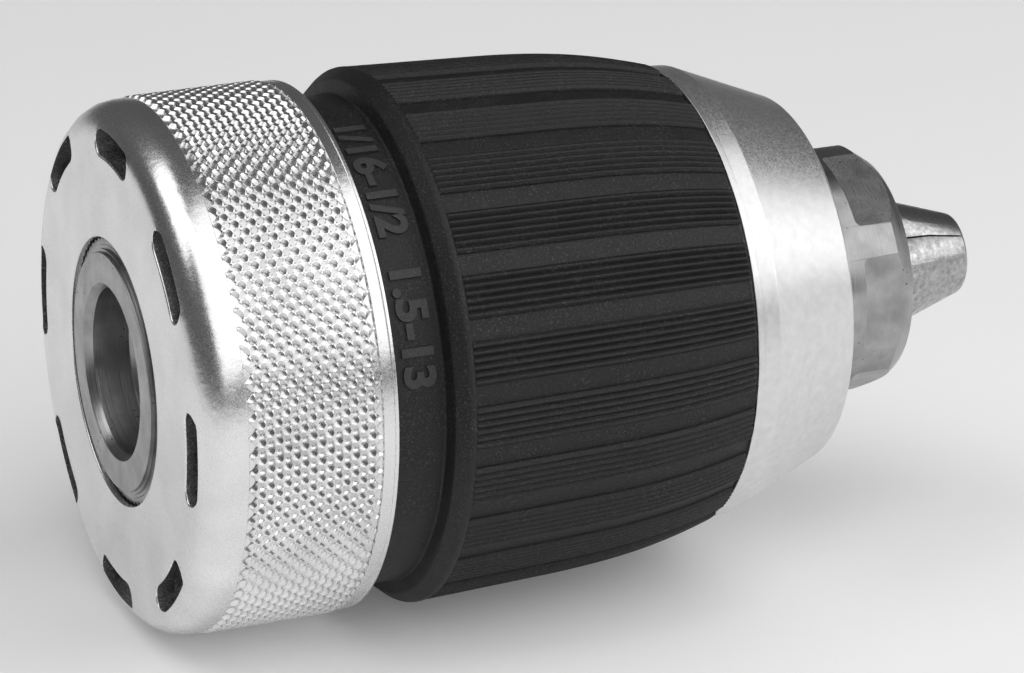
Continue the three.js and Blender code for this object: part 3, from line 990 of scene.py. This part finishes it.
# %% Grow the rib groups
def rib_groups(start, given):
    length = given["End"] - given["Start"]
    sizes = {"Size X": 1.0, "Size Y": 1.0, "Vertices X": 27, "Vertices Y": 43}
    flat = start.node("GeometryNodeMeshGrid", inputs=sizes)
    u, v, _ = start.node("GeometryNodeInputPosition").split()
    x = given["Start"] + (u + 0.5) * length
    run = (x - given["Full X"]) / MM
    bend = (run - BEND_START).ramp(0.0, 100.0, 0.0, 100.0) ** BEND_POWER * BEND
    barrel = given["Full Radius"] - (run * TAPER + bend) * MM
    phase = (v + 0.5) * given["Ribs"] * 2 * math.pi
    crest = phase.math("COSINE", phase)
    wave_height = (0.5 - crest * 0.5) ** 0.8
    edge = v.math("ABSOLUTE", v).ramp(0.47, 0.5, 1.0, 0.0)
    radius = barrel - given["Rib Height"] * (1 - wave_height * edge)
    group = moved(flat, start.vector(x, v * given["Group Angle"], radius))
    group = skirted(rolled_up(group), given["Skirt"])
    sets = start.node("GeometryNodePoints", inputs={"Count": given["Groups"]})
    index = start.node("GeometryNodeInputIndex")
    angle = given["First Angle"] + index * (2 * math.pi / given["Groups"])
    turned_points = {"Points": sets, "Instance": group, "Rotation": start.vector(angle, 0.0, 0.0)}
    copies = start.node("GeometryNodeInstanceOnPoints", inputs=turned_points)
    return realized(copies, "black_plastic")


GROUPS = 26
BAND_ANGLE = 8.1
ribs = grown(
    "grip_sleeve_ribs",
    rib_groups,
    {
        "Groups": GROUPS,
        "Ribs": 6,
        "Start": (full_x + 0.3) * MM,
        "End": (grip_front - 0.02) * MM,
        "Full X": full_x * MM,
        "Full Radius": (full_radius - 0.03) * MM,
        "Rib Height": 0.26 * MM,
        "Group Angle": math.radians(9.2),
        "First Angle": math.radians(BAND_ANGLE + 180 / GROUPS),
        "Skirt": 0.35 * MM,
    },
)
finish_piece(ribs, "sleeve_unit", "black_plastic", sharp=60)

# %% [markdown]
# ## Capacity marks
#
# The collar carries the chuck's capacity in inches and millimetres as raised figures. Text is made
# a mesh first. Then each point is wrapped: its x becomes an angle and its y runs along the axis.


# %% Raise the capacity marks on the collar
MARK_RAISE = 0.18


def collar_mark(name, words, from_angle, to_angle, foot_x, height):
    curve = bpy.data.curves.new(name, "FONT")
    curve.body = words
    curve.extrude = 0.5
    curve.offset = 0.026
    curve.bevel_depth = 0.012
    curve.bevel_resolution = 1
    text = bpy.data.objects.new(name, curve)
    bpy.context.collection.objects.link(text)
    depsgraph = bpy.context.evaluated_depsgraph_get()
    mesh = bpy.data.meshes.new_from_object(text.evaluated_get(depsgraph), depsgraph=depsgraph)
    bpy.data.objects.remove(text)
    bm = bmesh.new()
    bm.from_mesh(mesh)
    bmesh.ops.remove_doubles(bm, verts=bm.verts, dist=1e-5)
    low_x = min(v.co.x for v in bm.verts)
    high_x = max(v.co.x for v in bm.verts)
    low_y = min(v.co.y for v in bm.verts)
    high_y = max(v.co.y for v in bm.verts)
    high_z = max(v.co.z for v in bm.verts)
    for v in bm.verts:
        share = (v.co.x - low_x) / (high_x - low_x)
        angle = math.radians(from_angle + (to_angle - from_angle) * share)
        along = foot_x + height * (v.co.y - low_y) / (high_y - low_y)
        radius = COLLAR_RADIUS + MARK_RAISE * (0.22 + 0.78 * v.co.z / high_z)
        v.co = Vector((along, radius * math.cos(angle), radius * math.sin(angle))) * MM
    bm.to_mesh(mesh)
    bm.free()
    piece = bpy.data.objects.new(name, mesh)
    bpy.context.collection.objects.link(piece)
    finish_piece(piece, "sleeve_unit", "black_plastic", sharp=30, look="paler_mark_plastic")


collar_mark("grip_mark_inches", "1/16-1/2", 102.7, 136.8, 17.75, 2.75)
collar_mark("grip_mark_millimetres", "1.5-13", 144.8, 171.6, 17.75, 2.75)

# %% [markdown]
# ## The jaws
#
# A jaw is a round bar that slides at a slant. Its front is ground to a third of a cone, its inner
# sides meet the other two jaws, and its back has teeth that the nut drives. Each shape is made as
# a simple solid, and the jaw is what they all have in common.

# %% Make one jaw and turn it into three
JAW_SLIT = 0.16
jaw_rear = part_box("jaw_1")[0].x / MM + 1.02
TIP_RADIUS = 3.42
TIP_SLOPE = 0.325
TOOTH_PITCH = 2.0
TOOTH_HEIGHT = 0.9


def jaw_share():
    """The third of space that belongs to the upper jaw."""
    apex = JAW_SLIT / 2 / math.sin(math.pi / 3)
    high = 30
    wide = high * math.tan(math.pi / 3)
    outline = [(0, apex), (wide, apex + high), (-wide, apex + high)]
    return straight_prism("share", outline, jaw_rear - 6, tip_x + 3)


def jaw_cone():
    """The cone of the three tips."""
    back = 60
    wide = TIP_RADIUS + back * TIP_SLOPE
    outline = [(tip_x - back, 0), (tip_x - back, wide), (tip_x, TIP_RADIUS, 0.55), (tip_x, 0)]
    return turned("tip_cone", outline, 144)


def jaw_reach(x):
    """How far from the chuck's axis the outer side of a jaw bar lies."""
    return (tip_x - x) * jaw_slope + JAW_RADIUS / math.cos(math.atan(jaw_slope))


def tooth_cone():
    """A cone with sawtooth rings. What lies outside it is cut from the jaw's back."""
    outline = [(jaw_rear - 6, 0)]
    x = jaw_rear - 6
    while x < tip_x - 9:
        outside = jaw_reach(x)
        outline += [(x, outside - TOOTH_HEIGHT), (x + 0.25, outside + 0.02)]
        outline += [(x + 0.75, outside - 0.1), (x + 1.55, outside - 0.3 - TOOTH_HEIGHT)]
        x += TOOTH_PITCH
    outline += [(x, 30), (tip_x + 3, 30), (tip_x + 3, 0)]
    return turned("tooth_cone", outline, 144)


jaw = slanted_bar("jaw_1_ground", JAW_RADIUS, jaw_rear, tip_x + 8, 96)
for tool in (jaw_share(), jaw_cone(), tooth_cone()):
    combine(jaw, tool, "INTERSECT")
for number in (3, 2, 1):
    piece = jaw if number == 1 else copy_of(jaw, f"jaw_{number}_ground")
    turn_about_axis(piece, JAW_ANGLE - 90 + 120 * (number - 1))
    finish_piece(piece, f"jaw_unit_{number}", "jaw_steel", f"jaw_{number}", sharp=28)

# %% [markdown]
# ## Nut and band
#
# The nut's cone bore carries the thread that the jaw teeth run in. It is turned whole, then split
# in two so that it can go round the body's neck, and the band holds the halves together.


# %% Turn the nut, split it and add its band
def nut_outline():
    bore = []
    x = band_front
    while x > band_rear + 1.2:
        wall = jaw_reach(x) + 0.2
        bore += [(x, wall), (x - 0.25, wall + 0.05), (x - 1.0, wall + 0.7)]
        x -= TOOTH_PITCH
    return [
        (band_rear, jaw_reach(band_rear) + 0.3, 0.1),
        (band_rear, band_outer - 1.0, 0.25),
        (band_front, band_outer - 1.0, 0.25),
        *bore,
    ]


def half_of(piece, side):
    bm = bmesh.new()
    bm.from_mesh(piece.data)
    everything = bm.verts[:] + bm.edges[:] + bm.faces[:]
    split = Vector((0, side * 0.1 * MM, 0))
    cut = bmesh.ops.bisect_plane(
        bm, geom=everything, plane_co=split, plane_no=(0, side, 0), clear_inner=True
    )
    rim = [e for e in cut["geom_cut"] if isinstance(e, bmesh.types.BMEdge)]
    bmesh.ops.holes_fill(bm, edges=rim)
    bmesh.ops.recalc_face_normals(bm, faces=bm.faces)
    bm.to_mesh(piece.data)
    bm.free()
    return piece


nut_a = turned("nut_half_a_threaded", nut_outline(), 144)
nut_b = copy_of(nut_a, "nut_half_b_threaded")
finish_piece(half_of(nut_a, 1), "sleeve_unit", "nut_steel", "nut_half_a")
finish_piece(half_of(nut_b, -1), "sleeve_unit", "nut_steel", "nut_half_b")
nut_band = turned(
    "nut_band_pressed",
    [
        (band_rear, band_outer - 0.8, 0.15),
        (band_rear, band_outer, 0.25),
        (band_front, band_outer, 0.15),
        (band_front, band_outer - 0.8, 0.15),
    ],
    144,
)
finish_piece(nut_band, "sleeve_unit", "hard_steel", "nut_band")

# %% [markdown]
# ## Bearing
#
# The two races are flat rings with a shallow groove for the balls. The cage is a pressed ring with
# a round pocket for each ball. The balls are one sphere copied round the pitch circle.

# %% Turn the races
BEARING_INNER = 2 * ball_pitch - bearing_outer
GROOVE_RADIUS = 1.02
GROOVE_REACH = 38


def race_outline(rear, front, groove_at_front):
    inner, outer = BEARING_INNER, bearing_outer
    groove = []
    for step in range(9):
        angle = math.radians(GROOVE_REACH * (step / 4 - 1))
        sink = (math.cos(angle) - math.cos(math.radians(GROOVE_REACH))) * GROOVE_RADIUS
        groove.append((sink, ball_pitch + GROOVE_RADIUS * math.sin(angle)))
    rear_side = [(rear, inner, 0.12), (rear, outer, 0.12)]
    front_side = [(front, outer, 0.12), (front, inner, 0.12)]
    if groove_at_front:
        front_side[1:1] = [(front - sink, radius) for sink, radius in reversed(groove)]
    else:
        rear_side[1:1] = [(rear + sink, radius) for sink, radius in groove]
    return rear_side + front_side


rear_race = turned("rear_race_ground", race_outline(race_rear, race_front, True), 144)
front_race = turned("front_race_ground", race_outline(front_race_rear, front_race_front, False), 144)
finish_piece(rear_race, "chuck_frame", "hard_steel", "rear_race")
finish_piece(front_race, "sleeve_unit", "hard_steel", "front_race")


# %% [markdown]
# The balls turn together with their cage, so all twelve are one mesh grown on the pitch circle.


# %% Grow the balls and cut their cage
def ball_ring(start, given):
    sphere = {"Segments": 32, "Rings": 16, "Radius": given["Ball Radius"]}
    ball = start.node("GeometryNodeMeshUVSphere", inputs=sphere)
    index = start.node("GeometryNodeInputIndex")
    angle = index * (2 * math.pi / given["Balls"])
    y = given["Pitch Radius"] * angle.math("COSINE", angle)
    z = given["Pitch Radius"] * angle.math("SINE", angle)
    spot = start.vector(given["Ball X"], y, z)
    points = start.node("GeometryNodePoints", inputs={"Count": given["Balls"], "Position": spot})
    copies = start.node("GeometryNodeInstanceOnPoints", inputs={"Points": points, "Instance": ball})
    return realized(copies, "ball_steel")


BALLS = 12
POCKET_RADIUS = 1.1
balls = grown(
    "balls_polished",
    ball_ring,
    {
        "Balls": BALLS,
        "Ball Radius": ball_radius * MM,
        "Ball X": ball_x * MM,
        "Pitch Radius": ball_pitch * MM,
    },
)
finish_piece(balls, "bearing_unit", "ball_steel", *[f"ball_{i + 1:02d}" for i in range(BALLS)])
cage = turned(
    "ball_cage_pressed",
    [
        (cage_rear, BEARING_INNER, 0.1),
        (cage_rear, bearing_outer, 0.1),
        (cage_front, bearing_outer, 0.1),
        (cage_front, BEARING_INNER, 0.1),
    ],
    144,
)
for number in range(BALLS):
    circle = [2 * math.pi * i / 32 for i in range(32)]
    outline = [(POCKET_RADIUS * math.cos(a) + ball_pitch, POCKET_RADIUS * math.sin(a)) for a in circle]
    pocket = straight_prism("pocket", outline, cage_rear - 1, cage_front + 1)
    combine(cage, turn_about_axis(pocket, 360 / BALLS * number), "DIFFERENCE")
finish_piece(cage, "bearing_unit", "cage_steel", "ball_cage")

# %% [markdown]
# ## Retaining ring
#
# A split ring snaps in the body's groove and keeps the sleeve on. It is a turned ring with a gap.

# %% Turn the retaining ring and open its gap
retaining_ring = turned(
    "retaining_ring_split",
    [
        (snap_rear, snap_outer - 2.2, 0.15),
        (snap_rear, snap_outer, 0.15),
        (snap_front, snap_outer, 0.15),
        (snap_front, snap_outer - 2.2, 0.15),
    ],
    144,
)
gap_outline = [(-2, -20), (2, -20), (2, 0), (-2, 0)]
gap = straight_prism("gap", gap_outline, snap_rear - 1, snap_front + 1)
combine(retaining_ring, gap, "DIFFERENCE")
finish_piece(retaining_ring, "chuck_frame", "hard_steel", "retaining_ring")

# %% [markdown]
# ## Floor and light
#
# The chuck rests on a pale table. Steel shows what is round it, so the light is soft panels: a
# very large one in front and above, a small one at the right and one behind. The room stays dim,
# because steel needs something dark to reflect as well.


# %% Lay the floor
def floor_finish():
    plain = {"Metallic": 0.0, "Roughness": 0.9, "Emission_Strength": 0.12}
    material, shader, place = new_finish("floor_paper", **plain)
    fibres = greys(grain(place, 40.0), 0.93, 0.95)
    connect(shader, Base_Color=fibres, Emission_Color=fibres)
    return material


floor_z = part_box("grip_sleeve")[0].z / MM - 0.02
wide = 1500
corners = [(-wide, -wide, floor_z), (wide, -wide, floor_z), (wide, wide, floor_z), (-wide, wide, floor_z)]
floor = from_faces("floor", corners, [(0, 1, 2, 3)])
floor.data.materials.append(floor_finish())


# %% [markdown]
# Each panel is placed by the direction it is seen from, because that is what a reflection shows.


# %% Hang the soft lights
def panel(name, place, aim, size_x, size_y, watts):
    """A soft light panel: its place and aim are in millimetres."""
    light = bpy.data.lights.new(name, "AREA")
    light.shape = "RECTANGLE"
    light.size = size_x * MM
    light.size_y = size_y * MM
    light.energy = watts
    holder = bpy.data.objects.new(name, light)
    bpy.context.collection.objects.link(holder)
    holder.location = Vector(place) * MM
    holder.rotation_euler = (Vector(aim) - Vector(place)).to_track_quat("-Z", "Y").to_euler()
    return holder


middle = Vector((35, 0, 0))


def towards(azimuth, elevation, distance):
    """A place seen from the chuck's middle. Azimuth 0 is +X and -90 is in front."""
    turn = math.radians(azimuth)
    rise = math.radians(elevation)
    way = (math.cos(turn) * math.cos(rise), math.sin(turn) * math.cos(rise), math.sin(rise))
    return middle + Vector(way) * distance


panel("front_panel", towards(-68, 48, 650), middle, 1100, 950, 4.2)
panel("right_panel", towards(-20, 22, 600), middle, 450, 360, 0.7)
panel("rear_panel", towards(170, 60, 700), middle, 500, 500, 1.3)
world = bpy.data.worlds.new("studio")
bpy.context.scene.world = world
world.use_nodes = True
world.node_tree.nodes["Background"].inputs["Color"].default_value = (1, 1, 1, 1)
world.node_tree.nodes["Background"].inputs["Strength"].default_value = 0.09
bpy.context.scene.view_settings.view_transform = "Standard"
